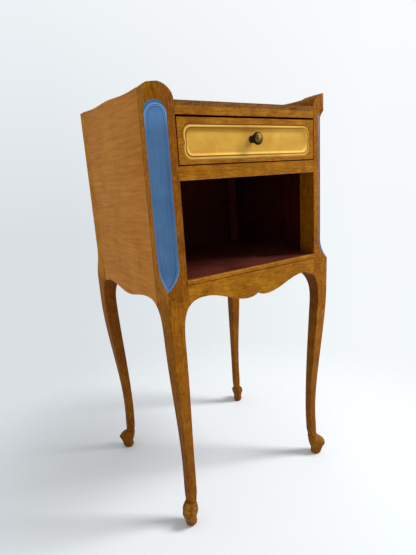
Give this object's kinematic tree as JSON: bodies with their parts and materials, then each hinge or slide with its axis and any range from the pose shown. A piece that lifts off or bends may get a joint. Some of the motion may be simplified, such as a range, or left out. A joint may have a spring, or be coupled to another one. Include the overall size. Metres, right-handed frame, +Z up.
{
  "type": "nightstand",
  "caption": "Small wooden nightstand with cabriole legs, canted front corners with painted recesses, a drawer with a round knob and an open niche.",
  "frame": {"origin": "on the floor, in the middle of the overall width and depth", "axes": "+Z up, +X to the right seen from the front, -Y towards the front, where the drawer opens"},
  "size_m": [0.3766, 0.3512, 0.7656],
  "materials": {
    "polished_beech": "french polished, worn at the arrises",
    "side_veneer": "satin polish over figured veneer",
    "niche_stain": "dark red-brown stain",
    "inner_wood": "bare, darkened with age",
    "drawer_panel": "ochre paint on the panel, polish round it",
    "antique_brass": "darkened, polished on the high spots",
    "screw_steel": "dull"
  },
  "bodies": {
    "cabinet": {"left_front_post": "polished_beech", "right_front_post": "polished_beech", "left_rear_post": "polished_beech", "right_rear_post": "polished_beech", "left_side_panel": "side_veneer", "right_side_panel": "side_veneer", "back_panel": "niche_stain", "back_gallery_rail": "polished_beech", "back_bottom_rail": "inner_wood", "top_board": "polished_beech", "top_front_rail": "polished_beech", "drawer_rail": "polished_beech", "front_apron": "polished_beech", "niche_floor": "niche_stain", "floor_lipping": "polished_beech", "niche_ceiling": "niche_stain", "left_drawer_runner": "inner_wood", "right_drawer_runner": "inner_wood", "left_drawer_guide": "inner_wood", "right_drawer_guide": "inner_wood", "left_kicker": "inner_wood", "right_kicker": "inner_wood", "left_floor_cleat": "inner_wood", "right_floor_cleat": "inner_wood", "corner_blocks": "inner_wood", "drawer_stops": "inner_wood", "top_board_screws": "screw_steel", "runner_screws": "screw_steel", "cleat_screws": "screw_steel"},
    "drawer": {"drawer_front": "drawer_panel", "drawer_left_side": "inner_wood", "drawer_right_side": "inner_wood", "drawer_back": "inner_wood", "drawer_bottom": "inner_wood", "drawer_bottom_screws": "screw_steel", "knob": "antique_brass", "knob_rosette": "antique_brass", "knob_screw": "screw_steel"}
  },
  "joints": [
    {"name": "drawer_slide", "type": "slide", "parent": "cabinet", "child": "drawer", "axis": [0, -1, 0], "range_m": [0, 0.2]}
  ]
}
